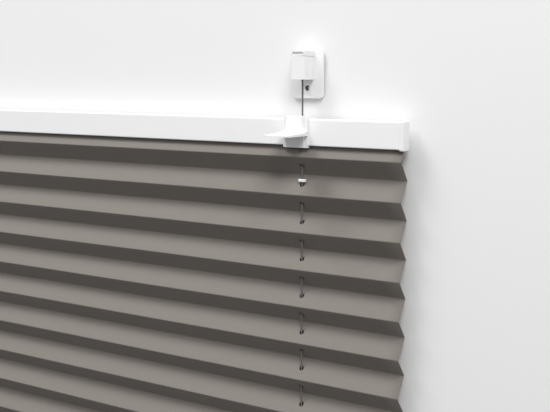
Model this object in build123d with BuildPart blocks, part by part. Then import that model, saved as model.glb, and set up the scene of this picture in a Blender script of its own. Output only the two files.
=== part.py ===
"""Pleated blind with tensioned cords: two hollow rails that slide on two vertical cords, with the
pleated fabric between them, and four small brackets that hold the ends of the cords.

Frame: X runs along the rails, Y points into the wall, Z is up. The origin is the centre of the
pattern of the four screw holes, on the wall plane. Everything is symmetric left to right and top to
bottom, so each piece is modelled once, at the upper right, and mirrored.
"""
from build123d import *
from math import atan2, degrees, sqrt
import os

os.makedirs("parts", exist_ok=True)

# ---------------------------------------------------------------- driving dimensions, in mm
fabric_width = 600.0
pleat_count = 20  # ridges between the two rails
pleat_pitch = 30.8  # ridge to ridge, blind fully drawn down
pleat_depth = 12.8  # ridge to valley, front to back
first_ridge_drop = 9.2  # rail's lower face to the first ridge
fabric_thickness = 0.4
fabric_hole_radius = 1.95
fabric_end_gap = 0.2  # fabric's end to the floor of the strip's slit

cord_inset = 88.4  # cord axis to the fabric's side edge
cord_radius = 0.75
cord_to_wall = 10.5  # cord axis to the wall plane
cord_free_span = 31.2  # shoe to rail
cord_clearance = 0.4  # round the cord, in every hole that slides along it

rail_height = 21.3
rail_depth = 11.0
rail_wall = 0.9
rail_top_wall = 1.4
rail_corner = 0.9
rail_end_inset = 2.0  # the fabric's side edge stands this far past the rail's cut end
groove_width = 6.4
groove_depth = 0.5
channel_height = 4.0  # lower channel, which takes the fabric strip
slot_width = 3.4

cap_flange = 3.3
cap_proud = 0.35  # flange past the rail's section, at the top, front and back
cap_drop = 1.0  # flange below the rail's lower face
cap_corner = 1.1
cap_edge = 0.6
cap_spigot = 12.0
cap_slot_gap = 0.3  # round the fabric's edge, in the cap's slot
cap_clearance = 0.15

strip_clearance = 0.3  # strip to the channel's walls
strip_height = 2.4
strip_corner = 0.3
strip_slit = 0.95
strip_slit_depth = 1.8
strip_gap = 0.3  # strip to the channel's floor

guide_length = 14.0
guide_clearance = 0.15
guide_corner = 1.0
guide_neck_radius = 2.0
run_offset_y = 1.9  # the two horizontal cord runs, off the rail's middle
run_offset_z = 3.0
run_end_gap = 2.5  # end of a horizontal run to the vertical cord's axis

spring_coil_radius = 1.75
spring_wire_radius = 0.25
spring_pitch = 1.0
spring_turns = 24
spring_offset_x = 60.0
spring_end_rim = 0.1  # closed end of the spring, past the coil all round
spring_end_half = 0.5
spring_eye_radius = 1.6
loop_radius = 1.3  # loop tied at the end of a cord run, linked through the spring's eye
loop_cord_radius = 0.35
loop_offset = 0.3  # loop's middle past the far side of the eye

bead_width = 7.0
bead_depth = 3.6
bead_height = 2.4
bead_edge = 0.7
bead_lift = 3.4  # bead's middle above the fabric hole that it sits over

plate_width = 28.6
plate_height = 38.1
plate_thickness = 2.0
plate_corner = 3.5
plate_edge = 0.5
plate_hole_radius = 2.2
hole_to_plate_bottom = 8.6
pad_thickness = 0.8
pad_inset = 0.5
pad_hole_radius = 1.6

shoe_width = 12.7
shoe_depth = 16.0
shoe_height = 18.4
shoe_round = 0.7
shoe_heel = 1.3  # bevel at the foot of the shoe's back
shoe_cavity_radius = 2.6
shoe_floor = 7.7  # solid under the cavity
hood_height = 4.1
hood_gap = 0.3
hood_slot_width = 10.0
hood_slot_height = 2.6
hood_slot_depth = 1.2
hood_slot_drop = 0.2  # slot's middle below the hood's middle
lug_width = 6.0
lug_depth = 3.0
lug_height = 12.0
lug_rise = 3.0  # lug's foot above the shoe's foot
lug_clearance = 0.2
clamp_radius = 2.3
clamp_height = 6.0
clamp_edge = 0.4
clamp_bore_clearance = 0.05
cord_tail = 1.0  # cord past the clamp

handle_inset = 91.2  # handle's middle to the fabric's side edge
handle_width = 22.2
handle_wall = 1.2
handle_clearance = 0.1
handle_top_lip = 2.4
handle_bottom_lip = 1.6
top_lip_reach = 2.6  # from the handle's inner front face, over the rail
bottom_lip_reach = 2.0
grip_front_width = 11.0
grip_depth = 3.45  # how far the grip stands off the clip's front wall
tongue_width = 22.0
tongue_reach = 32.5  # forward of the rail's front face
tongue_level = 8.0  # tongue's underside above the rail's lower face, at its root
tongue_lift = 0.6  # underside higher at the tip than at the root
tongue_tip_thickness = 1.2
tongue_root_thickness = 2.6  # where its top sweeps up to the grip
tongue_root_rise = 0.8  # the sweep's height
tongue_sweep = 4.0
tongue_corner = 3.0
chin_top_width = 17.0
chin_bottom_width = 15.6
chin_depth = 3.0  # at its top, under the tongue
chin_foot_depth = 0.8

# ---------------------------------------------------------------- places worked out from them
drop = 2 * first_ridge_drop + (pleat_count - 1) * pleat_pitch
cord_x = fabric_width / 2 - cord_inset
handle_x = fabric_width / 2 - handle_inset
cord_y = -cord_to_wall

rail_bottom = drop / 2
rail_top = rail_bottom + rail_height
rail_front = cord_y - rail_depth / 2
rail_length = fabric_width - 2 * rail_end_inset
chamber_depth = rail_depth - 2 * rail_wall
channel_floor = rail_bottom + rail_wall
web_bottom = channel_floor + channel_height
chamber_bottom = web_bottom + rail_wall
chamber_top = rail_top - rail_top_wall
chamber_middle = (chamber_bottom + chamber_top) / 2
chamber_height = chamber_top - chamber_bottom
cord_hole_radius = cord_radius + cord_clearance

strip_bottom = channel_floor + strip_gap
strip_width = chamber_depth - 2 * strip_clearance
fabric_end = strip_bottom + strip_slit_depth - fabric_end_gap

shoe_bottom = rail_top + cord_free_span
shoe_top = shoe_bottom + shoe_height
hood_bottom = shoe_top + hood_gap
plate_top = hood_bottom + hood_height
plate_bottom = plate_top - plate_height
plate_middle = (plate_top + plate_bottom) / 2
hole_z = plate_bottom + hole_to_plate_bottom
plate_back = -pad_thickness
plate_front = plate_back - plate_thickness
shoe_middle_y = plate_front - shoe_depth / 2
shoe_front = plate_front - shoe_depth
cavity_floor = shoe_bottom + shoe_floor
clamp_top = cavity_floor + clamp_height
cord_half = clamp_top + cord_tail

RIGHT_LEFT = (("right", 1), ("left", -1))
UPPER_LOWER = (("upper", 1), ("lower", -1))
made = {}


def write(name, solid):
    """Labels one finished piece and writes it as the node of that name."""
    solid.label = name
    export_step(solid, f"parts/{name}.step")
    made[name] = solid


def mirrored(source, side, level):
    """A copy of an upper right piece, for the left where side is -1 and the bottom where level is -1."""
    with BuildPart() as copy:
        add(source)
        if side < 0:
            mirror(about=Plane.YZ, mode=Mode.REPLACE)
        if level < 0:
            mirror(about=Plane.XY, mode=Mode.REPLACE)
    return copy.part


def write_four(name, source):
    """The same piece at the four cord ends."""
    for level_name, level in UPPER_LOWER:
        for side_name, side in RIGHT_LEFT:
            write(f"{name}_{level_name}_{side_name}", mirrored(source, side, level))


def write_on_rails(name, source):
    """The same piece at both ends of both rails."""
    for level_name, level in (("top", 1), ("bottom", -1)):
        for side_name, side in RIGHT_LEFT:
            write(f"{level_name}_rail_{name}_{side_name}", mirrored(source, side, level))


# ---------------------------------------------------------------- base plate with the hood
with BuildPart() as base_plate:
    with BuildSketch(Plane.XZ.offset(-plate_back)):
        with Locations((cord_x, plate_middle)):
            RectangleRounded(plate_width, plate_height, plate_corner)
    extrude(amount=plate_thickness)
    fillet(base_plate.faces().sort_by(Axis.Y)[0].edges(), plate_edge)
    # hood over the shoe, and the lug that the shoe hangs on
    with BuildSketch(Plane.XZ.offset(-plate_front)):
        with Locations((cord_x, hood_bottom + hood_height / 2)):
            Rectangle(shoe_width, hood_height)
    extrude(amount=shoe_depth)
    fillet(base_plate.faces().sort_by(Axis.Y)[0].edges().filter_by(Axis.Z), shoe_round)
    with BuildSketch(Plane.XZ.offset(-plate_front)):
        with Locations((cord_x, shoe_bottom + lug_rise + lug_height / 2)):
            Rectangle(lug_width, lug_height)
    extrude(amount=lug_depth)
    # release slot in the hood's front, and the screw hole
    with BuildSketch(Plane.XZ.offset(-shoe_front)):
        with Locations((cord_x, hood_bottom + hood_height / 2 - hood_slot_drop)):
            SlotOverall(hood_slot_width, hood_slot_height)
    extrude(amount=-hood_slot_depth, mode=Mode.SUBTRACT)
    with BuildSketch(Plane.XZ.offset(-plate_front)):
        with Locations((cord_x, hole_z)):
            Circle(plate_hole_radius)
    extrude(amount=-plate_thickness, mode=Mode.SUBTRACT)
write_four("base_plate", base_plate.part)

# ---------------------------------------------------------------- adhesive pad behind the plate
with BuildPart() as adhesive_pad:
    with BuildSketch(Plane.XZ):
        with Locations((cord_x, plate_middle)):
            RectangleRounded(
                plate_width - 2 * pad_inset, plate_height - 2 * pad_inset, plate_corner - pad_inset
            )
        with Locations((cord_x, hole_z)):
            Circle(pad_hole_radius, mode=Mode.SUBTRACT)
    extrude(amount=pad_thickness)
write_four("adhesive_pad", adhesive_pad.part)

# ---------------------------------------------------------------- tension shoe
with BuildPart() as tension_shoe:
    with BuildSketch(Plane.XY.offset(shoe_bottom)):
        with Locations((cord_x, shoe_middle_y)):
            Rectangle(shoe_width, shoe_depth)
    extrude(amount=shoe_height)
    fillet(tension_shoe.faces().sort_by(Axis.Y)[0].edges().filter_by(Axis.Z), shoe_round)
    chamfer(tension_shoe.faces().sort_by(Axis.Y)[-1].edges().sort_by(Axis.Z)[0], shoe_heel)
    with BuildSketch(Plane.XY.offset(cavity_floor)):
        with Locations((cord_x, cord_y)):
            Circle(shoe_cavity_radius)
    extrude(amount=shoe_top - cavity_floor, mode=Mode.SUBTRACT)
    with BuildSketch(Plane.XY.offset(shoe_bottom)):
        with Locations((cord_x, cord_y)):
            Circle(cord_hole_radius)
    extrude(amount=shoe_floor, mode=Mode.SUBTRACT)
    # pocket for the plate's lug, open at the back
    with BuildSketch(Plane.XZ.offset(-plate_front)):
        with Locations((cord_x, shoe_bottom + lug_rise + lug_height / 2)):
            Rectangle(lug_width + 2 * lug_clearance, lug_height + 2 * lug_clearance)
    extrude(amount=lug_depth + lug_clearance, mode=Mode.SUBTRACT)
write_four("tension_shoe", tension_shoe.part)

# ---------------------------------------------------------------- clamp on the end of the cord
with BuildPart() as cord_clamp:
    with BuildSketch(Plane.XY.offset(cavity_floor)):
        with Locations((cord_x, cord_y)):
            Circle(clamp_radius)
            Circle(cord_radius + clamp_bore_clearance, mode=Mode.SUBTRACT)
    extrude(amount=clamp_height)
    chamfer(cord_clamp.faces().sort_by(Axis.Z)[-1].outer_wire().edges(), clamp_edge)
write_four("cord_clamp", cord_clamp.part)

# ---------------------------------------------------------------- vertical cord, clamp to clamp
with BuildPart() as cord:
    with BuildSketch(Plane.XY.offset(-cord_half)):
        with Locations((cord_x, cord_y)):
            Circle(cord_radius)
    extrude(amount=2 * cord_half)
for side_name, side in RIGHT_LEFT:
    write(f"cord_{side_name}", mirrored(cord.part, side, 1))

# ---------------------------------------------------------------- pleated fabric
# Its middle line, seen from the side: down through the rail's slot, then ridge, valley, ridge.
middle_line = [(cord_y, fabric_end), (cord_y, rail_bottom)]
for fold in range(2 * pleat_count - 1):
    ahead = -1 if fold % 2 == 0 else 1
    fold_z = rail_bottom - first_ridge_drop - fold * pleat_pitch / 2
    middle_line.append((cord_y + ahead * pleat_depth / 2, fold_z))
middle_line += [(cord_y, -rail_bottom), (cord_y, -fabric_end)]

panel_length = sqrt(pleat_depth**2 + (pleat_pitch / 2) ** 2)
panel_tilt = degrees(atan2(pleat_pitch / 2, pleat_depth))
# half the sheet's thickness, measured straight back, so that every panel is fabric_thickness thick
half_back = fabric_thickness * panel_length / pleat_pitch
hole_places = []
for panel in range(2 * pleat_count - 2):
    panel_z = rail_bottom - first_ridge_drop - (panel + 0.5) * pleat_pitch / 2
    tilt = panel_tilt if panel % 2 == 1 else -panel_tilt
    for side in (1, -1):
        hole_places.append(Location((side * cord_x, cord_y, panel_z), (tilt, 0, 0)))
# the cord passes the first and the last half panel where they leave the rails
notch_foot = rail_bottom - 2 * (cord_radius + cord_clearance)
notch_height = 2 * (fabric_end - notch_foot)
cutter_reach = 10 * fabric_thickness

with BuildPart() as pleated_fabric:
    with BuildSketch(Plane.YZ.offset(-fabric_width / 2)):
        with BuildLine():
            Polyline(
                *[(y - half_back, z) for y, z in middle_line],
                *[(y + half_back, z) for y, z in reversed(middle_line)],
                close=True,
            )
        make_face()
    extrude(amount=fabric_width)
    with Locations(*hole_places):
        Cylinder(fabric_hole_radius, cutter_reach, mode=Mode.SUBTRACT)
    with Locations(
        *[
            (side * cord_x, cord_y, level * (notch_foot + notch_height / 2))
            for side in (1, -1)
            for level in (1, -1)
        ]
    ):
        Box(2 * fabric_hole_radius, cutter_reach, notch_height, mode=Mode.SUBTRACT)
write("pleated_fabric", pleated_fabric.part)

# ---------------------------------------------------------------- rail
with BuildPart() as rail:
    with BuildSketch(Plane.YZ.offset(-rail_length / 2)):
        with Locations((cord_y, (rail_bottom + rail_top) / 2)):
            RectangleRounded(rail_depth, rail_height, rail_corner)
        with Locations((cord_y, chamber_middle)):
            Rectangle(chamber_depth, chamber_height, mode=Mode.SUBTRACT)
        with Locations((cord_y, channel_floor + channel_height / 2)):
            Rectangle(chamber_depth, channel_height, mode=Mode.SUBTRACT)
        with Locations((cord_y, rail_bottom)):
            Rectangle(slot_width, 4 * rail_wall, mode=Mode.SUBTRACT)
        with Locations((cord_y, rail_top)):
            Rectangle(groove_width, 2 * groove_depth, mode=Mode.SUBTRACT)
    extrude(amount=rail_length)
    with Locations(*[(side * cord_x, cord_y, chamber_top) for side in (1, -1)]):
        Cylinder(guide_neck_radius + guide_clearance, 4 * rail_top_wall, mode=Mode.SUBTRACT)
    with Locations(*[(side * cord_x, cord_y, web_bottom) for side in (1, -1)]):
        Cylinder(cord_hole_radius, 4 * rail_wall, mode=Mode.SUBTRACT)
for level_name, level in (("top", 1), ("bottom", -1)):
    write(f"{level_name}_rail", mirrored(rail.part, 1, level))

# ---------------------------------------------------------------- end cap
with BuildPart() as end_cap:
    flange_height = rail_height + cap_proud + cap_drop
    with BuildSketch(Plane.YZ.offset(rail_length / 2)):
        with Locations((cord_y, rail_bottom - cap_drop + flange_height / 2)):
            RectangleRounded(rail_depth + 2 * cap_proud, flange_height, cap_corner)
    extrude(amount=cap_flange)
    fillet(end_cap.faces().sort_by(Axis.X)[-1].edges(), cap_edge)
    # spigot inside the rail's upper chamber
    with BuildSketch(Plane.YZ.offset(rail_length / 2)):
        with Locations((cord_y, chamber_middle)):
            Rectangle(chamber_depth - 2 * cap_clearance, chamber_height - 2 * cap_clearance)
    extrude(amount=-cap_spigot)
    chamfer(end_cap.faces().sort_by(Axis.X)[0].edges(), cap_edge)
    # slot for the fabric's edge, which stands past the rail's cut end
    with BuildSketch(Plane.YZ.offset(rail_length / 2)):
        with Locations((cord_y, rail_bottom - cap_drop)):
            Rectangle(slot_width, 2 * (fabric_end - rail_bottom + cap_drop + cap_slot_gap))
    extrude(amount=rail_end_inset + cap_slot_gap, mode=Mode.SUBTRACT)
write_on_rails("end_cap", end_cap.part)

# ---------------------------------------------------------------- strip that holds the fabric
with BuildPart() as fabric_strip:
    with BuildSketch(Plane.YZ.offset(-rail_length / 2 + cap_clearance)):
        with Locations((cord_y, strip_bottom + strip_height / 2)):
            RectangleRounded(strip_width, strip_height, strip_corner)
        with Locations((cord_y, strip_bottom)):
            Rectangle(strip_slit, 2 * strip_slit_depth, mode=Mode.SUBTRACT)
    extrude(amount=rail_length - 2 * cap_clearance)
    with Locations(*[(side * cord_x, cord_y, strip_bottom) for side in (1, -1)]):
        Cylinder(cord_hole_radius, 4 * strip_height, mode=Mode.SUBTRACT)
for level_name, level in (("top", 1), ("bottom", -1)):
    write(f"{level_name}_rail_fabric_strip", mirrored(fabric_strip.part, 1, level))

# ---------------------------------------------------------------- cord guide inside the rail
with BuildPart() as cord_guide:
    with BuildSketch(Plane.XY.offset(chamber_bottom + guide_clearance)):
        with Locations((cord_x, cord_y)):
            RectangleRounded(guide_length, chamber_depth - 2 * guide_clearance, guide_corner)
    extrude(amount=chamber_height - 2 * guide_clearance)
    with BuildSketch(Plane.XY.offset(chamber_top - guide_clearance)):
        with Locations((cord_x, cord_y)):
            Circle(guide_neck_radius)
    extrude(amount=rail_top_wall - groove_depth + guide_clearance)
    with Locations((cord_x, cord_y, chamber_middle)):
        Cylinder(cord_hole_radius, 2 * rail_height, mode=Mode.SUBTRACT)
    # the two horizontal runs enter from the rail's middle and stop beside the vertical cord
    with BuildSketch(Plane.YZ.offset(cord_x - guide_length / 2)):
        with Locations(
            (cord_y - run_offset_y, chamber_middle + run_offset_z),
            (cord_y + run_offset_y, chamber_middle - run_offset_z),
        ):
            Circle(cord_hole_radius)
    extrude(amount=guide_length / 2 - run_end_gap + cord_clearance, mode=Mode.SUBTRACT)
write_on_rails("cord_guide", cord_guide.part)

# ---------------------------------------------------------------- tension springs in the top rail
# Each horizontal run of cord in the top rail is in two lengths, joined by a coil spring with an eye
# at each end. Both springs are the same, so one is modelled on the X axis and placed twice.
coil_length = spring_turns * spring_pitch
eye_x = coil_length / 2 + spring_end_half + spring_eye_radius
loop_x = eye_x + spring_eye_radius + loop_offset
run_end_x = cord_x - run_end_gap
with BuildPart() as spring:
    with BuildLine():
        coil = Helix(
            spring_pitch,
            coil_length,
            spring_coil_radius,
            center=(-coil_length / 2, 0, 0),
            direction=(1, 0, 0),
        )
    with BuildSketch(Plane(origin=coil @ 0, z_dir=coil % 0)):
        Circle(spring_wire_radius)
    sweep(is_frenet=True)
    for end in (1, -1):
        with BuildSketch(Plane.YZ.offset(end * coil_length / 2)):
            Circle(spring_coil_radius + spring_wire_radius + spring_end_rim)
        extrude(amount=spring_end_half, both=True)
        with Locations(Location((end * eye_x, 0, 0), (90, 0, 0))):
            Torus(spring_eye_radius, spring_wire_radius)

for run_name, ahead, up in (("front", -1, 1), ("rear", 1, -1)):
    run_y = cord_y + ahead * run_offset_y
    run_z = chamber_middle + up * run_offset_z
    spring_x = ahead * spring_offset_x
    with BuildPart() as placed_spring:
        with Locations((spring_x, run_y, run_z)):
            add(spring.part)
    write(f"top_rail_spring_{run_name}", placed_spring.part)
    for side_name, side in RIGHT_LEFT:
        tied_x = spring_x + side * loop_x
        start_x = tied_x + side * loop_radius
        with BuildPart() as run:
            with Locations((tied_x, run_y, run_z)):
                Torus(loop_radius, loop_cord_radius)
            with BuildSketch(Plane.YZ.offset(min(start_x, side * run_end_x))):
                with Locations((run_y, run_z)):
                    Circle(cord_radius)
            extrude(amount=abs(side * run_end_x - start_x))
        write(f"top_rail_cross_cord_{run_name}_{side_name}", run.part)
    with BuildPart() as lower_run:
        with BuildSketch(Plane.YZ.offset(-run_end_x)):
            with Locations((run_y, -run_z)):
                Circle(cord_radius)
        extrude(amount=2 * run_end_x)
    write(f"bottom_rail_cross_cord_{run_name}", lower_run.part)

# ---------------------------------------------------------------- handle that clips over the rail
clip_back = rail_front - handle_clearance
clip_front = clip_back - handle_wall
grip_front = clip_front - grip_depth
tongue_tip = rail_front - tongue_reach
tongue_bottom = rail_bottom + tongue_level
tongue_tip_bottom = tongue_bottom + tongue_lift
sweep_start = (grip_front - tongue_sweep, tongue_bottom + tongue_root_thickness)
sweep_end = (grip_front, tongue_bottom + tongue_root_thickness + tongue_root_rise)
handle_top = rail_top + handle_top_lip
handle_bottom = rail_bottom - handle_bottom_lip
with BuildPart() as handle:
    # tongue: thin at its tip, with an underside that rises towards it and a top that sweeps up to the grip
    with BuildSketch(Plane.YZ.offset(handle_x - tongue_width / 2)):
        with BuildLine():
            Line((clip_back, tongue_bottom), (tongue_tip, tongue_tip_bottom))
            Line((tongue_tip, tongue_tip_bottom), (tongue_tip, tongue_tip_bottom + tongue_tip_thickness))
            top_edge = Line((tongue_tip, tongue_tip_bottom + tongue_tip_thickness), sweep_start)
            TangentArc(sweep_start, sweep_end, tangent=top_edge % 1)
            Line(sweep_end, (clip_back, sweep_end[1]))
            Line((clip_back, sweep_end[1]), (clip_back, tongue_bottom))
        make_face()
    extrude(amount=tongue_width)
    fillet(handle.edges().filter_by(Axis.Z).group_by(Axis.Y)[0], tongue_corner)
    # clip: front wall with a lip over the rail and a lip under it
    with BuildSketch(Plane.YZ.offset(handle_x - handle_width / 2)):
        with BuildLine():
            Polyline(
                (clip_front, handle_bottom),
                (clip_back + bottom_lip_reach, handle_bottom),
                (clip_back + bottom_lip_reach, rail_bottom - handle_clearance),
                (clip_back, rail_bottom - handle_clearance),
                (clip_back, rail_top + handle_clearance),
                (clip_back + top_lip_reach, rail_top + handle_clearance),
                (clip_back + top_lip_reach, handle_top),
                (clip_front, handle_top),
                close=True,
            )
        make_face()
    extrude(amount=handle_width)
    # grip: wide at the clip, narrow at the front, with rounded flanks
    with BuildSketch(Plane.XY.offset(tongue_bottom)):
        with BuildLine():
            Line((handle_x - handle_width / 2, clip_front), (handle_x + handle_width / 2, clip_front))
            Spline(
                (handle_x + handle_width / 2, clip_front),
                (handle_x + grip_front_width / 2, grip_front),
                tangents=((-1, 0), (-1, 0)),
            )
            Line(
                (handle_x + grip_front_width / 2, grip_front),
                (handle_x - grip_front_width / 2, grip_front),
            )
            Spline(
                (handle_x - grip_front_width / 2, grip_front),
                (handle_x - handle_width / 2, clip_front),
                tangents=((-1, 0), (-1, 0)),
            )
        make_face()
    extrude(amount=handle_top - tongue_bottom)
    # chin: the body below the tongue, narrower and thinner at its foot
    chin_top = tongue_bottom + tongue_root_thickness / 2
    with BuildSketch(Plane.XY.offset(chin_top)):
        with Locations((handle_x, clip_front - chin_depth / 2)):
            Rectangle(chin_top_width, chin_depth)
    with BuildSketch(Plane.XY.offset(handle_bottom)):
        with Locations((handle_x, clip_front - chin_foot_depth / 2)):
            Rectangle(chin_bottom_width, chin_foot_depth)
    loft()
write_on_rails("handle", handle.part)

# ---------------------------------------------------------------- bead on the cord, over its hole
first_lit_panel = rail_bottom - first_ridge_drop - 0.75 * pleat_pitch
bead_z = first_lit_panel + bead_lift
with BuildPart() as bead:
    with BuildSketch(Plane.XY.offset(bead_z - bead_height / 2)):
        with Locations((cord_x, cord_y)):
            SlotOverall(bead_width, bead_depth)
            Circle(cord_hole_radius, mode=Mode.SUBTRACT)
    extrude(amount=bead_height)
    fillet(bead.faces().sort_by(Axis.Z)[-1].outer_wire().edges(), bead_edge)
    fillet(bead.faces().sort_by(Axis.Z)[0].outer_wire().edges(), bead_edge)
for side_name, side in RIGHT_LEFT:
    write(f"cord_bead_{side_name}", mirrored(bead.part, side, 1))

if __name__ == "__main__":
    print(f"{len(made)} pieces, fabric drop {drop:.1f}, cord length {2 * cord_half:.1f}")
    print(f"screw holes {2 * cord_x:.1f} x {2 * hole_z:.1f}")
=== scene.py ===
"""Looks of a pleated blind with two sliding rails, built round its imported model.

Lengths are in metres, in the model's frame: X along the rails, Y into the wall, Z up. Places come from
the boxes of the model's own pieces, and the upper and the lower half are made by the same functions.
"""

import math

import bmesh
import bpy
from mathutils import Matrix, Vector, noise


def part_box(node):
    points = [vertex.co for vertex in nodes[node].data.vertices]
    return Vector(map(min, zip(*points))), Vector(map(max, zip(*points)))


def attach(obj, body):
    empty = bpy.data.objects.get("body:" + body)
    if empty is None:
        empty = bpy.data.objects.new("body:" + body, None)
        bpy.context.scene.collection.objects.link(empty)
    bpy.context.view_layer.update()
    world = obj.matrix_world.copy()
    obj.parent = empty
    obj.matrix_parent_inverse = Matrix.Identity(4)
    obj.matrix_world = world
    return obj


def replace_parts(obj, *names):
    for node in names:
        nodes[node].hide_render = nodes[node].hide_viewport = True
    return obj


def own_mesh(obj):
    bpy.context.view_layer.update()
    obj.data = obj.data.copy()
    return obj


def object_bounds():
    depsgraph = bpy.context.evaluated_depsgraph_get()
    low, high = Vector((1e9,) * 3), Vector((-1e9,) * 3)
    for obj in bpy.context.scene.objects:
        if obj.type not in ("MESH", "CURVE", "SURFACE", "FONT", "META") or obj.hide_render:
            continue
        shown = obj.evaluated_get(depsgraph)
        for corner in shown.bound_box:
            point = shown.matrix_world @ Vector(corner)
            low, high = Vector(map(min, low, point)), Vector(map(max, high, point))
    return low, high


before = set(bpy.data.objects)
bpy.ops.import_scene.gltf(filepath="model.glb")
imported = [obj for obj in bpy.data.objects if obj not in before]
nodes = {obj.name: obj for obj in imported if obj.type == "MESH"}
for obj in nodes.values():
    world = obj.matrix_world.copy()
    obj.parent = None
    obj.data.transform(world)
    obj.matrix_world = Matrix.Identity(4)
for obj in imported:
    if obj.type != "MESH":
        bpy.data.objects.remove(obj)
cad_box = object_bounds()
MM = 0.001
SIDES = (("right", 1), ("left", -1))
LEVELS = ("upper", "lower")
RAILS = ("top_rail", "bottom_rail")

# ---------------------------------------------------------------- camera
camera_data = bpy.data.cameras.new("camera")
camera_data.sensor_width = 36.0
camera_data.lens = 58.24
camera_data.shift_y = -0.055
camera_data.clip_start = 0.01
camera = bpy.data.objects.new("camera", camera_data)
camera.location = (0.5567, -0.6387, 0.3605)
camera.rotation_euler = (math.radians(90 - 6.66), 0.0, math.radians(30.55))
bpy.context.scene.collection.objects.link(camera)
bpy.context.scene.camera = camera


# ---------------------------------------------------------------- making pieces
smooth_limit = math.radians(38)  # edges sharper than this stay sharp
hard_limit = math.radians(42)  # a moulded piece's edges sharper than this are rounded
flat_limit = math.radians(0.5)  # facets nearer to one plane than this are joined
weld_distance = 0.001 * MM


def finished(form, name, material):
    """The bmesh as a new object with that material, smooth but for its sharp edges."""
    bmesh.ops.recalc_face_normals(form, faces=form.faces)
    mesh = bpy.data.meshes.new(name)
    form.to_mesh(mesh)
    form.free()
    for face in mesh.polygons:
        face.use_smooth = True
    mesh.set_sharp_from_angle(angle=smooth_limit)
    mesh.materials.append(material)
    piece = bpy.data.objects.new(name, mesh)
    bpy.context.scene.collection.objects.link(piece)
    return piece


def softened(node, name, material, width, segments=2):
    """A moulded piece: the model's own shape with its facets joined and its hard edges rounded."""
    form = bmesh.new()
    form.from_mesh(nodes[node].data)
    bmesh.ops.remove_doubles(form, verts=form.verts, dist=weld_distance)
    bmesh.ops.dissolve_limit(form, angle_limit=flat_limit, verts=form.verts, edges=form.edges)
    hard = [e for e in form.edges if e.is_manifold and e.calc_face_angle() > hard_limit]
    bmesh.ops.bevel(
        form, geom=hard, offset=width, offset_type="OFFSET", affect="EDGES",
        segments=segments, profile=0.5, material=-1, clamp_overlap=True,
    )
    piece = finished(form, name, material)
    even = piece.modifiers.new("even_shading", "WEIGHTED_NORMAL")
    even.keep_sharp = True
    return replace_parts(piece, node)


# ---------------------------------------------------------------- shader node groups
def shader_group(name, inputs, outputs):
    """An empty node group with named inputs (name, kind, value) and outputs (name, kind)."""
    tree = bpy.data.node_groups.new(name, "ShaderNodeTree")
    for socket, kind, value in inputs:
        tree.interface.new_socket(socket, in_out="INPUT", socket_type=kind).default_value = value
    for socket, kind in outputs:
        tree.interface.new_socket(socket, in_out="OUTPUT", socket_type=kind)
    return tree, tree.nodes.new("NodeGroupInput"), tree.nodes.new("NodeGroupOutput")


def add_node(tree, kind, links=(), **settings):
    """A node with its settings, and (input, output socket or plain value) pairs for its inputs."""
    node = tree.nodes.new(kind)
    for key, value in settings.items():
        setattr(node, key, value)
    for socket, value in links:
        if isinstance(value, bpy.types.NodeSocket):
            tree.links.new(value, node.inputs[socket])
        else:
            node.inputs[socket].default_value = value
    return node


def maths(tree, operation, first, second=0.0, third=0.0):
    """One math node's result."""
    return add_node(
        tree, "ShaderNodeMath", [(0, first), (1, second), (2, third)], operation=operation
    ).outputs[0]


def patchy(tree, place, scale, detail):
    """Soft noise from 0 to 1 at that place, with about scale patches in a metre."""
    return add_node(
        tree, "ShaderNodeTexNoise", [("Vector", place), ("Scale", scale), ("Detail", detail)]
    ).outputs["Fac"]


def blended(tree, share, first, second):
    """The first colour, and the second one as the share rises to 1."""
    return add_node(
        tree, "ShaderNodeMix", [(0, share), (6, first), (7, second)], data_type="RGBA"
    ).outputs[2]


def relief(tree, height, depth, strength=1.0):
    """The normal of a surface with that height map, depth metres from its lowest to its highest."""
    return add_node(
        tree, "ShaderNodeBump", [("Height", height), ("Distance", depth), ("Strength", strength)]
    ).outputs["Normal"]


def put_out(tree, out, colour, roughness, normal):
    """Joins a surface group's results to its outputs."""
    tree.links.new(colour, out.inputs["Colour"])
    tree.links.new(roughness, out.inputs["Roughness"])
    tree.links.new(normal, out.inputs["Normal"])


FLOAT, COLOUR, VECTOR = "NodeSocketFloat", "NodeSocketColor", "NodeSocketVector"
SURFACE = (("Colour", COLOUR), ("Roughness", FLOAT), ("Normal", VECTOR))


def make_grain_group():
    """Fine grain of a moulded or coated skin: a soft tint, uneven gloss and a shallow relief."""
    tree, given, out = shader_group(
        "skin_grain",
        [
            ("Colour", COLOUR, (0.8, 0.8, 0.8, 1.0)),
            ("Tint", COLOUR, (0.7, 0.7, 0.7, 1.0)),
            ("Grain Scale", FLOAT, 1500.0),
            ("Grain Depth", FLOAT, 0.00001),
            ("Low Roughness", FLOAT, 0.3),
            ("High Roughness", FLOAT, 0.5),
        ],
        SURFACE,
    )
    place = add_node(tree, "ShaderNodeTexCoord").outputs["Object"]
    clouds = patchy(tree, place, 45.0, 3.0)
    grain = patchy(tree, place, given.outputs["Grain Scale"], 2.0)
    tint = maths(tree, "MULTIPLY_ADD", clouds, 0.7, 0.0)
    colour = blended(tree, tint, given.outputs["Colour"], given.outputs["Tint"])
    both = maths(tree, "ADD", maths(tree, "MULTIPLY", grain, 0.5), maths(tree, "MULTIPLY", clouds, 0.5))
    rough = add_node(
        tree,
        "ShaderNodeMapRange",
        [
            ("Value", both),
            ("From Min", 0.3),
            ("From Max", 0.7),
            ("To Min", given.outputs["Low Roughness"]),
            ("To Max", given.outputs["High Roughness"]),
        ],
    ).outputs["Result"]
    put_out(tree, out, colour, rough, relief(tree, grain, given.outputs["Grain Depth"]))
    return tree


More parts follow.
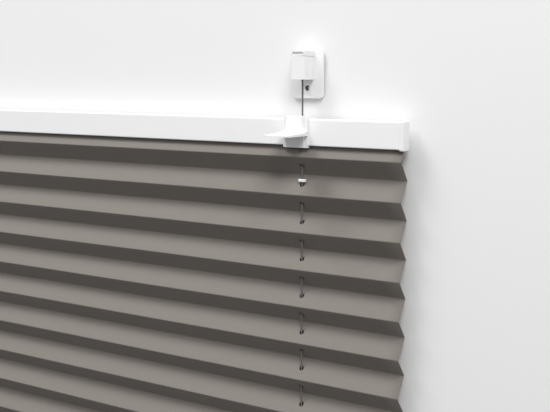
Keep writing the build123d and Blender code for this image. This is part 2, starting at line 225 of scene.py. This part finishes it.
def make_weave_group():
    """Plain weave on the cloth's own flat map: warp and weft threads that pass over and under, with painted
    shade where the threads dip.
    """
    tree, given, out = shader_group(
        "plain_weave",
        [
            ("Warp Colour", COLOUR, (0.3, 0.3, 0.3, 1.0)),
            ("Weft Colour", COLOUR, (0.3, 0.3, 0.3, 1.0)),
            ("Thread Width", FLOAT, 0.0004),
            ("Thread Relief", FLOAT, 0.00004),
        ],
        SURFACE,
    )
    flat = add_node(tree, "ShaderNodeTexCoord").outputs["UV"]
    parts = add_node(tree, "ShaderNodeSeparateXYZ", [(0, flat)])
    waves = []
    for axis in ("X", "Y"):
        turns = maths(tree, "DIVIDE", parts.outputs[axis], given.outputs["Thread Width"])
        waves.append(maths(tree, "SINE", maths(tree, "MULTIPLY", turns, math.pi)))
    crossing = maths(tree, "MULTIPLY", waves[0], waves[1])
    thread_rise_and_shade = maths(tree, "POWER", maths(tree, "ABSOLUTE", crossing), 0.5)
    on_top = maths(tree, "GREATER_THAN", crossing, 0.0)
    yarn = blended(tree, on_top, given.outputs["Warp Colour"], given.outputs["Weft Colour"])
    stretched = add_node(
        tree, "ShaderNodeMapping", [("Vector", flat), ("Scale", (60.0, 900.0, 1.0))]
    ).outputs["Vector"]
    slubs = patchy(tree, stretched, 1.0, 3.0)
    # painted shade: each thread is lighter on its crown and darker where it dips under, times a random slub
    # tone
    shade = maths(
        tree, "MULTIPLY", maths(tree, "MULTIPLY_ADD", thread_rise_and_shade, 0.22, 0.84),
        maths(tree, "MULTIPLY_ADD", slubs, 0.12, 0.94),
    )
    colour = add_node(
        tree, "ShaderNodeVectorMath", [(0, yarn), ("Scale", shade)], operation="SCALE"
    ).outputs[0]
    rough = maths(tree, "MULTIPLY_ADD", slubs, 0.16, 0.74)
    put_out(tree, out, colour, rough, relief(tree, thread_rise_and_shade, given.outputs["Thread Relief"]))
    return tree


def make_metal_group():
    """Drawn or turned metal: fine marks that run along one direction, and a slightly uneven colour."""
    tree, given, out = shader_group(
        "drawn_metal",
        [
            ("Colour", COLOUR, (0.6, 0.6, 0.6, 1.0)),
            ("Dull Colour", COLOUR, (0.4, 0.4, 0.4, 1.0)),
            ("Mark Scale", VECTOR, (2000.0, 2000.0, 100.0)),
            ("Mark Depth", FLOAT, 0.000004),
        ],
        SURFACE,
    )
    place = add_node(tree, "ShaderNodeTexCoord").outputs["Object"]
    run = add_node(
        tree, "ShaderNodeVectorMath", [(0, place), (1, given.outputs["Mark Scale"])],
        operation="MULTIPLY",
    ).outputs[0]
    marks = patchy(tree, run, 1.0, 4.0)
    colour = blended(tree, marks, given.outputs["Colour"], given.outputs["Dull Colour"])
    rough = maths(tree, "MULTIPLY_ADD", marks, 0.3, 0.18)
    put_out(tree, out, colour, rough, relief(tree, marks, given.outputs["Mark Depth"]))
    return tree


skin_grain = make_grain_group()
plain_weave = make_weave_group()
drawn_metal = make_metal_group()


# ---------------------------------------------------------------- materials
def surface_material(name, group, values, **sockets):
    """A material whose colour, roughness and normal come from one node group with its own values."""
    material = bpy.data.materials.new(name)
    material.use_nodes = True
    tree = material.node_tree
    shader = tree.nodes["Principled BSDF"]
    for socket, value in sockets.items():
        shader.inputs[socket.replace("_", " ")].default_value = value
    surface = tree.nodes.new("ShaderNodeGroup")
    surface.node_tree = group
    for socket, value in values.items():
        surface.inputs[socket].default_value = value
    tree.links.new(surface.outputs["Colour"], shader.inputs["Base Color"])
    tree.links.new(surface.outputs["Roughness"], shader.inputs["Roughness"])
    tree.links.new(surface.outputs["Normal"], shader.inputs["Normal"])
    return material


def grained(name, colour, tint, scale, depth, low, high, **sockets):
    """A moulded or coated material: two near colours, the grain's scale and depth, and its gloss."""
    values = {
        "Colour": (*colour, 1.0),
        "Tint": (*tint, 1.0),
        "Grain Scale": scale,
        "Grain Depth": depth,
        "Low Roughness": low,
        "High Roughness": high,
    }
    return surface_material(name, skin_grain, values, **sockets)


white_moulding = grained(
    "white_moulding", (0.86, 0.86, 0.86), (0.83, 0.83, 0.835), 2600.0, 0.000006, 0.34, 0.46
)
white_coating = grained(
    "white_rail_coating", (0.86, 0.86, 0.86), (0.84, 0.84, 0.845), 1300.0, 0.000012, 0.36, 0.5
)
milky_plastic = grained(
    "milky_strip_plastic", (0.74, 0.74, 0.72), (0.66, 0.66, 0.64), 1800.0, 0.00001, 0.45, 0.6
)
black_foam = grained(
    "black_pad_foam", (0.02, 0.02, 0.02), (0.045, 0.045, 0.045), 3500.0, 0.00012, 0.85, 0.98
)
inner_cord = grained(
    "inner_cord_fibre", (0.24, 0.24, 0.235), (0.12, 0.12, 0.118), 2400.0, 0.00006, 0.7, 0.85
)
pleat_cloth = surface_material(
    "pleated_cloth",
    plain_weave,
    {
        "Warp Colour": (0.220, 0.199, 0.181, 1.0),
        "Weft Colour": (0.194, 0.176, 0.159, 1.0),
        "Thread Width": 0.0004,
        "Thread Relief": 0.00003,
    },
    Sheen_Weight=0.08,
    Sheen_Roughness=0.5,
    Specular_IOR_Level=0.25,
)
spring_wire = surface_material(
    "spring_wire",
    drawn_metal,
    {"Colour": (0.62, 0.62, 0.64, 1.0), "Dull Colour": (0.45, 0.45, 0.46, 1.0)},
    Metallic=1.0,
)
clamp_brass = surface_material(
    "clamp_brass",
    drawn_metal,
    {"Colour": (0.72, 0.55, 0.28, 1.0), "Dull Colour": (0.5, 0.37, 0.18, 1.0),
     "Mark Scale": (300.0, 300.0, 4000.0)},
    Metallic=1.0,
)


def make_braid_material():
    """Braided cord: the strands' relief is in the mesh, and its attribute paints shade into the gaps
    between strands.
    """
    material = bpy.data.materials.new("braided_cord")
    material.use_nodes = True
    tree = material.node_tree
    shader = tree.nodes["Principled BSDF"]
    height = add_node(tree, "ShaderNodeAttribute", attribute_name="strand_height_and_shade").outputs["Fac"]
    place = add_node(tree, "ShaderNodeTexCoord").outputs["Object"]
    fibres = patchy(tree, place, 4000.0, 2.0)
    # painted shade: the gaps between strands are darker, mixed with a random fibre tone
    fibre_tone_and_gap_shade = maths(tree, "MULTIPLY_ADD", fibres, 0.4, maths(tree, "MULTIPLY", height, 0.7))
    ramp = add_node(tree, "ShaderNodeValToRGB", [(0, fibre_tone_and_gap_shade)])
    ramp.color_ramp.elements[0].color = (0.035, 0.034, 0.033, 1.0)
    ramp.color_ramp.elements[1].color = (0.19, 0.185, 0.178, 1.0)
    tree.links.new(ramp.outputs["Color"], shader.inputs["Base Color"])
    tree.links.new(maths(tree, "MULTIPLY_ADD", fibres, 0.2, 0.6), shader.inputs["Roughness"])
    tree.links.new(relief(tree, fibres, 0.04 * MM, 0.6), shader.inputs["Normal"])
    return material


braided_cord = make_braid_material()

# ---------------------------------------------------------------- braided cords
braid_pitch = 12 * MM  # a strand's way along the cord in one turn round it
braid_strands = 4  # each way round
braid_rise = 0.05 * MM
ring_step = 0.75 * MM
cord_sides = 16


def braided(node):
    """The cord between its clamps: a ring carried along the cord, raised where strands pass over."""
    low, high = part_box(node)
    middle = (low + high) / 2
    radius = (high.x - low.x) / 2 - braid_rise
    steps = round((high.z - low.z) / ring_step)
    form = bmesh.new()
    ring = bmesh.ops.create_circle(form, segments=cord_sides, radius=radius, cap_ends=False)
    bmesh.ops.translate(form, verts=ring["verts"], vec=(middle.x, middle.y, low.z))
    bmesh.ops.spin(
        form, geom=form.verts[:] + form.edges[:], cent=middle, axis=(0, 0, 1), angle=0.0,
        dvec=(0, 0, (high.z - low.z) / steps), steps=steps, use_duplicate=False, use_merge=False,
    )
    bmesh.ops.holes_fill(form, edges=[e for e in form.edges if e.is_boundary])
    # strand height, which the cord's material also uses to paint shade into the low gaps
    height = form.verts.layers.float.new("strand_height_and_shade")
    for vert in form.verts:
        turn = math.atan2(vert.co.y - middle.y, vert.co.x - middle.x)
        climb = 2 * math.pi * (vert.co.z - low.z) / braid_pitch
        rising = math.cos(braid_strands * (turn + climb))
        falling = math.cos(braid_strands * (turn - climb))
        vert[height] = 0.5 + 0.5 * rising * falling
        out = Vector((vert.co.x - middle.x, vert.co.y - middle.y, 0.0)).normalized()
        vert.co += out * braid_rise * vert[height]
    name = "braided_" + node
    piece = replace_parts(finished(form, name, braided_cord), node)
    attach(piece, "root")


for side, _ in SIDES:
    braided(f"cord_{side}")

# ---------------------------------------------------------------- pleated cloth
cloth_low, cloth_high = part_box("pleated_fabric")
rail_low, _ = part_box("top_rail")
cord_low, cord_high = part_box("cord_right")
cord_x = (cord_low.x + cord_high.x) / 2
cloth_y = (cord_low.y + cord_high.y) / 2
cloth_thickness = 0.4 * MM
pleat_count = 20
first_ridge_drop = 9.2 * MM
crease_proud = 0.52 * MM  # room inside the model's depth for the cloth's thickness
pleat_depth = cloth_high.y - cloth_low.y - crease_proud
pleat_pitch = 2 * (rail_low.z - first_ridge_drop) / (pleat_count - 1)
crease_radius = 0.8 * MM
crease_steps = 4
hole_radius = 1.95 * MM
hole_patch = 4.0 * MM  # half the width of the patch of cloth that is modelled round a hole
patch_steps = 8
notch_half = hole_radius
notch_drop = cord_high.x - cord_low.x + 0.8 * MM  # below the rail
notch_length = cloth_high.z - (rail_low.z - notch_drop)
column_gap = 16 * MM
wander = 0.22 * MM  # how far a crease strays from its true line
wander_across = 7.0  # strays in a metre of width
wander_along = 60.0  # strays in a metre of the cloth's length
wander_seed = 5.0
first_holed_stretch = 4  # the cloth in the rail and the first half panel have no holes


def fold_corners():
    """Side view of the upper half, (y, z): out of the rail, ridge and valley in turn, to the middle."""
    corners = [Vector((cloth_y, cloth_high.z)), Vector((cloth_y, rail_low.z))]
    for fold in range(pleat_count):
        ahead = -1 if fold % 2 == 0 else 1
        corners.append(
            Vector((
                cloth_y + ahead * pleat_depth / 2,
                rail_low.z - first_ridge_drop - fold * pleat_pitch / 2,
            ))
        )
    return corners


def folded_stretches(corners):
    """The path round those corners as stretches (length, place along it), straight and curved in turn."""
    stretches = []
    start = corners[0]
    for before, corner, after in zip(corners, corners[1:], corners[2:]):
        inward = (corner - before).normalized()
        onward = (after - corner).normalized()
        turn = inward.angle_signed(onward)
        setback = crease_radius * math.tan(abs(turn) / 2)
        arc_start = corner - inward * setback
        stretches.append(((arc_start - start).length, straight(start, inward)))
        stretches.append((crease_radius * abs(turn), bent(arc_start, inward, turn)))
        start = corner + onward * setback
    last = (corners[-1] - start).normalized()
    # the middle fold belongs half to each piece, so the path stops at the top of its curve
    turn = 2 * math.atan2(pleat_depth, pleat_pitch / 2)
    setback = crease_radius * math.tan(turn / 2)
    arc_start = corners[-1] - last * setback
    side = -1 if pleat_count % 2 == 0 else 1
    stretches.append(((arc_start - start).length, straight(start, last)))
    stretches.append((crease_radius * turn / 2, bent(arc_start, last, side * turn)))
    return stretches


def straight(start, along):
    """Places on a straight stretch."""
    return lambda t: start + along * t


def bent(start, along, turn):
    """Places on an arc of the crease's radius that turns from along by turn."""
    hand = 1 if turn > 0 else -1
    sideways = Vector((along.y, -along.x)) * hand
    centre = start + sideways * crease_radius

    def place(t):
        swept = t / crease_radius
        return centre + crease_radius * (along * math.sin(swept) - sideways * math.cos(swept))

    return place


def across_patch(middle):
    """Evenly spaced lines across the patch round a hole."""
    return [middle + hole_patch * (2 * step / patch_steps - 1) for step in range(patch_steps + 1)]


def stations(stretches):
    """Rows of the flat cloth, as distances from its end, and the distance of each hole's middle."""
    rows, holes, done = [0.0, notch_length], [], 0.0
    for count, (length, _) in enumerate(stretches):
        if count % 2:
            rows += [done + length * step / crease_steps for step in range(crease_steps + 1)]
        elif count >= first_holed_stretch:
            middle = done + length / 2
            holes.append(middle)
            rows += across_patch(middle)
        done += length
    return sorted(set(rows)), holes, done


def flat_columns():
    """Columns of the flat cloth across its width, close together beside the holes."""
    half = (cloth_high.x - cloth_low.x) / 2
    columns = [-half, half]
    for _, side in SIDES:
        columns += across_patch(side * cord_x)
        columns += [side * cord_x - notch_half, side * cord_x + notch_half]
    spare = round(2 * half / column_gap)
    for step in range(1, spare):
        column = -half + 2 * half * step / spare
        if all(abs(column - other) > hole_patch for other in columns):
            columns.append(column)
    return sorted(set(columns))


def flat_cloth(rows, holes):
    """The cut cloth, still flat: one face divided at each row and column, then holed and notched."""
    half = (cloth_high.x - cloth_low.x) / 2
    form = bmesh.new()
    end = rows[-1]
    corners = ((-half, 0, 0), (half, 0, 0), (half, end, 0), (-half, end, 0))
    form.faces.new([form.verts.new(corner) for corner in corners])
    for column in flat_columns()[1:-1]:
        divide(form, (column, 0, 0), (1, 0, 0))
    for row in rows[1:-1]:
        divide(form, (0, row, 0), (0, 1, 0))
    for _, side in SIDES:
        edge_of_notch = [
            f for f in form.faces
            if abs(f.calc_center_median().x - side * cord_x) < notch_half
            and f.calc_center_median().y < notch_length
        ]
        bmesh.ops.delete(form, geom=edge_of_notch, context="FACES")
        for hole in holes:
            punch(form, Vector((side * cord_x, hole, 0)))
    return form


def divide(form, place, across):
    """A row or column of new edges through that place."""
    everything = form.verts[:] + form.edges[:] + form.faces[:]
    bmesh.ops.bisect_plane(form, geom=everything, dist=weld_distance, plane_co=place, plane_no=across)


def punch(form, middle):
    """Takes out the middle of the patch round a hole and draws the rim left there onto a circle."""
    reach = hole_patch / 2
    inside = [
        f for f in form.faces
        if max(abs(f.calc_center_median().x - middle.x), abs(f.calc_center_median().y - middle.y)) < reach
    ]
    taken = set(inside)
    rim = {v for f in inside for v in f.verts if not taken.issuperset(v.link_faces)}
    for vert in rim:
        vert.co = middle + (vert.co - middle).normalized() * hole_radius
    bmesh.ops.delete(form, geom=inside, context="FACES")


def fold_up(form, stretches, half):
    """Carries each point of the flat cloth to its folded place, and maps the weave on the flat cloth."""
    flat_map = form.loops.layers.uv.new("flat_cloth")
    for face in form.faces:
        for loop in face.loops:
            loop[flat_map].uv = (loop.vert.co.x, loop.vert.co.y * half)
    ends = []
    done = 0.0
    for length, place in stretches:
        ends.append((done, done + length, place))
        done += length
    for vert in form.verts:
        s = vert.co.y
        start, _, place = next((e for e in ends if s <= e[1] + 1e-9), ends[-1])
        y, z = place(min(s, done) - start)
        stray = noise.noise(Vector((vert.co.x * wander_across, s * wander_along, wander_seed * half)))
        calm = min(1.0, s / (4 * first_ridge_drop), (done - s) / first_ridge_drop)
        vert.co = Vector((vert.co.x, y, half * (z + stray * wander * max(0.0, calm))))


def cloth_half(name, half):
    """The cloth from one rail to the middle fold: half is 1 for the upper one and -1 for the lower."""
    stretches = folded_stretches(fold_corners())
    rows, holes, length = stations(stretches)
    form = flat_cloth(rows, holes)
    fold_up(form, stretches, half)
    piece = finished(form, name, pleat_cloth)
    piece.data.validate()
    bpy.context.view_layer.objects.active = piece
    thick = piece.modifiers.new("thickness", "SOLIDIFY")
    thick.thickness = cloth_thickness
    thick.offset = 0.0
    thick.use_even_offset = True
    with bpy.context.temp_override(object=piece, active_object=piece):
        bpy.ops.object.modifier_apply(modifier=thick.name)
    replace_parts(piece, "pleated_fabric")
    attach(piece, "root")
    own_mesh(piece)


cloth_half("pleated_cloth_upper", 1)
cloth_half("pleated_cloth_lower", -1)

# ---------------------------------------------------------------- moulded pieces
thin_edge = 0.15 * MM
fine_edge = 0.2 * MM
soft_edge = 0.3 * MM
held_edge = 0.35 * MM  # what the hand meets


def moulded(node, body, width, segments=2):
    """A white moulded piece with edges rounded by width, riding on its body."""
    piece = softened(node, "moulded_" + node, white_moulding, width, segments)
    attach(piece, body)
    return piece


for side, _ in SIDES:
    for level in LEVELS:
        moulded(f"base_plate_{level}_{side}", "root", fine_edge)
        moulded(f"tension_shoe_{level}_{side}", "root", soft_edge)
    for rail in RAILS:
        moulded(f"{rail}_handle_{side}", f"{rail}_body", held_edge, 3)
        moulded(f"{rail}_end_cap_{side}", f"{rail}_body", fine_edge)
    bead = moulded(f"cord_bead_{side}", "top_rail_body", thin_edge)
    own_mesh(bead)


# ---------------------------------------------------------------- pieces carried over as they are
def finish_node(node, material):
    """Gives a piece of the model its material and leaves its mesh alone."""
    nodes[node].data.materials.clear()
    nodes[node].data.materials.append(material)


FINISHES = {
    "adhesive_pad": black_foam,
    "cord_clamp": clamp_brass,
    "cross_cord": inner_cord,
    "spring": spring_wire,
    "cord_guide": milky_plastic,
    "fabric_strip": milky_plastic,
}
for node in nodes:
    if node in RAILS:
        finish_node(node, white_coating)
    for word, material in FINISHES.items():
        if word in node:
            finish_node(node, material)


# ---------------------------------------------------------------- wall, floor and light
def plain_stage_material(name, shade):
    """Matt paint of one pale grey."""
    material = bpy.data.materials.new(name)
    material.use_nodes = True
    shader = material.node_tree.nodes["Principled BSDF"]
    shader.inputs["Base Color"].default_value = (shade, shade, shade, 1.0)
    shader.inputs["Roughness"].default_value = 0.9
    shader.inputs["Specular IOR Level"].default_value = 0.1
    return material


def stage_plane(name, size, centre, up, material):
    """A flat square of the stage. It faces the room or the ceiling."""
    form = bmesh.new()
    square = bmesh.ops.create_grid(form, x_segments=1, y_segments=1, size=size)["verts"]
    turn = Vector((0, 0, 1)).rotation_difference(Vector(up)).to_matrix()
    bmesh.ops.rotate(form, verts=square, cent=(0, 0, 0), matrix=turn)
    bmesh.ops.translate(form, verts=square, vec=centre)
    mesh = bpy.data.meshes.new(name)
    form.to_mesh(mesh)
    form.free()
    mesh.materials.append(material)
    plane = bpy.data.objects.new(name, mesh)
    bpy.context.scene.collection.objects.link(plane)


def one_sided(material):
    """Lets sight through from behind, and light for what is seen that way, so the back can be looked at."""
    tree = material.node_tree
    shader = tree.nodes["Principled BSDF"]
    output = tree.nodes["Material Output"]
    clear = add_node(tree, "ShaderNodeBsdfTransparent")
    behind = add_node(tree, "ShaderNodeNewGeometry").outputs["Backfacing"]
    path = add_node(tree, "ShaderNodeLightPath")
    passed = maths(tree, "GREATER_THAN", path.outputs["Transparent Depth"], 0.5)
    lit = maths(tree, "MULTIPLY", path.outputs["Is Shadow Ray"], passed)
    either = maths(tree, "MAXIMUM", behind, lit)
    mix = add_node(
        tree, "ShaderNodeMixShader", [(0, either), (1, shader.outputs[0]), (2, clear.outputs[0])]
    )
    tree.links.new(mix.outputs[0], output.inputs["Surface"])
    return material


def dim_to_the_blind(material, shade):
    """The floor looks pale, and throws back only the light of a darker floor."""
    tree = material.node_tree
    shader = tree.nodes["Principled BSDF"]
    dark = add_node(tree, "ShaderNodeBsdfDiffuse", [("Color", (shade, shade, shade, 1.0))])
    seen = add_node(tree, "ShaderNodeLightPath").outputs["Is Camera Ray"]
    mix = add_node(
        tree, "ShaderNodeMixShader", [(0, seen), (1, dark.outputs[0]), (2, shader.outputs[0])]
    )
    tree.links.new(mix.outputs[0], tree.nodes["Material Output"].inputs["Surface"])
    return material


stage_reach = 4.0  # half the width of the wall and of the floor
wall_gap = 0.4 * MM
floor_drop = 300 * MM  # below the blind
wall_paint = one_sided(plain_stage_material("wall_paint", 0.82))
floor_paint = dim_to_the_blind(plain_stage_material("floor_paint", 0.64), 0.15)
stage_plane("wall", stage_reach, (0, wall_gap, 0), (0, -1, 0), wall_paint)
stage_plane("floor", stage_reach, (0, 0, cad_box[0].z - floor_drop), (0, 0, 1), floor_paint)


def soft_light(name, place, target, size, power):
    """A square lamp of that size in metres and power in watts, turned to its target."""
    data = bpy.data.lights.new(name, "AREA")
    data.shape = "SQUARE"
    data.size = size
    data.energy = power
    lamp = bpy.data.objects.new(name, data)
    lamp.location = place
    lamp.rotation_euler = (Vector(target) - Vector(place)).to_track_quat("-Z", "Y").to_euler()
    bpy.context.scene.collection.objects.link(lamp)


soft_light("light_upper_left", (-0.9, -1.05, 2.6), (0, 0, 0.1), 1.0, 46.0)
soft_light("light_upper_right", (1.3, -1.4, 2.2), (0, 0, 0.1), 1.1, 44.0)
soft_light("light_rear", (0.9, 2.2, 1.8), (0, 0, 0), 1.4, 45.0)

# the room is bright above and dim below, and looks plain and pale
world = bpy.data.worlds.new("room")
bpy.context.scene.world = world
world.use_nodes = True
room = world.node_tree
height = add_node(
    room, "ShaderNodeSeparateXYZ", [(0, add_node(room, "ShaderNodeTexCoord").outputs["Generated"])]
).outputs["Z"]
brightness = add_node(
    room,
    "ShaderNodeMapRange",
    [("Value", height), ("From Min", -0.5), ("From Max", 0.1), ("To Min", 0.3), ("To Max", 0.6)],
    interpolation_type="SMOOTHSTEP",
).outputs["Result"]
room_light = room.nodes["Background"]
room_light.inputs["Color"].default_value = (1.0, 1.0, 1.0, 1.0)
room.links.new(brightness, room_light.inputs["Strength"])
backdrop = add_node(
    room, "ShaderNodeBackground", [("Color", (0.87, 0.87, 0.87, 1.0)), ("Strength", 1.0)]
)
seen = add_node(room, "ShaderNodeLightPath").outputs["Is Camera Ray"]
world_mix = add_node(
    room, "ShaderNodeMixShader", [(0, seen), (1, room_light.outputs[0]), (2, backdrop.outputs[0])]
)
room.links.new(world_mix.outputs[0], room.nodes["World Output"].inputs["Surface"])
bpy.context.scene.view_settings.view_transform = "Standard"
